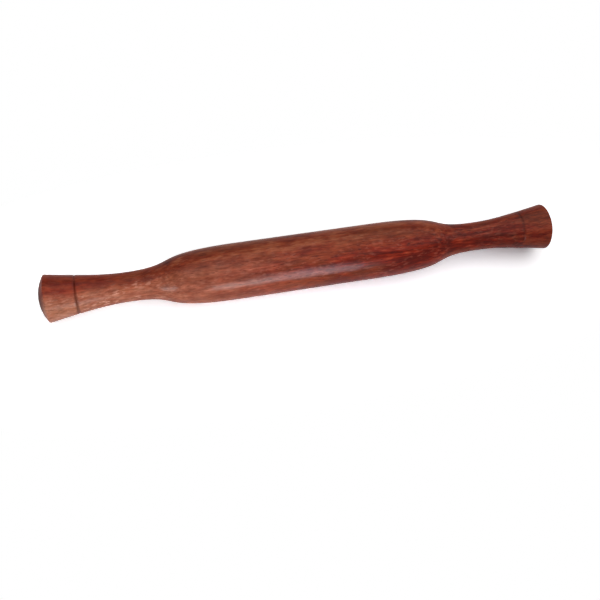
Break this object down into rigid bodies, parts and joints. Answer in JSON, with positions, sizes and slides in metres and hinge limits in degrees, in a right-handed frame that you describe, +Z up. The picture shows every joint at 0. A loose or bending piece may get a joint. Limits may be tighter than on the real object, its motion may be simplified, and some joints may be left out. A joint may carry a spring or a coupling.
{
  "type": "rolling pin",
  "caption": "Turned wooden rolling pin: a straight barrel with long shoulders spins on a hidden rod between waisted handles that flare out to domed ends.",
  "frame": {"origin": "on the worktop under the middle of the barrel, where the barrel's lowest facet rests", "axes": "+X along the pin's axis towards the right handle, +Y away from the viewer, +Z up"},
  "size_m": [0.3048, 0.0326, 0.0325],
  "materials": {
    "barrel_wood": "satin varnish",
    "handle_wood": "satin varnish",
    "knob_wood": "satin varnish",
    "brass": "turned",
    "steel": "bright drawn"
  },
  "bodies": {
    "handle_set": {"axle_rod": "steel", "left_thrust_washer": "steel", "right_thrust_washer": "steel", "left_handle": "handle_wood", "right_handle": "handle_wood", "left_nut_washer": "steel", "right_nut_washer": "steel", "left_nut": "steel", "right_nut": "steel", "left_end_knob": "knob_wood", "right_end_knob": "knob_wood"},
    "barrel": {"barrel": "barrel_wood", "left_bush": "brass", "right_bush": "brass"}
  },
  "joints": [
    {"name": "barrel_spin", "type": "hinge", "parent": "handle_set", "child": "barrel", "pos_m": [0, 0, 0.01627], "axis": [1, 0, 0], "continuous": true}
  ]
}
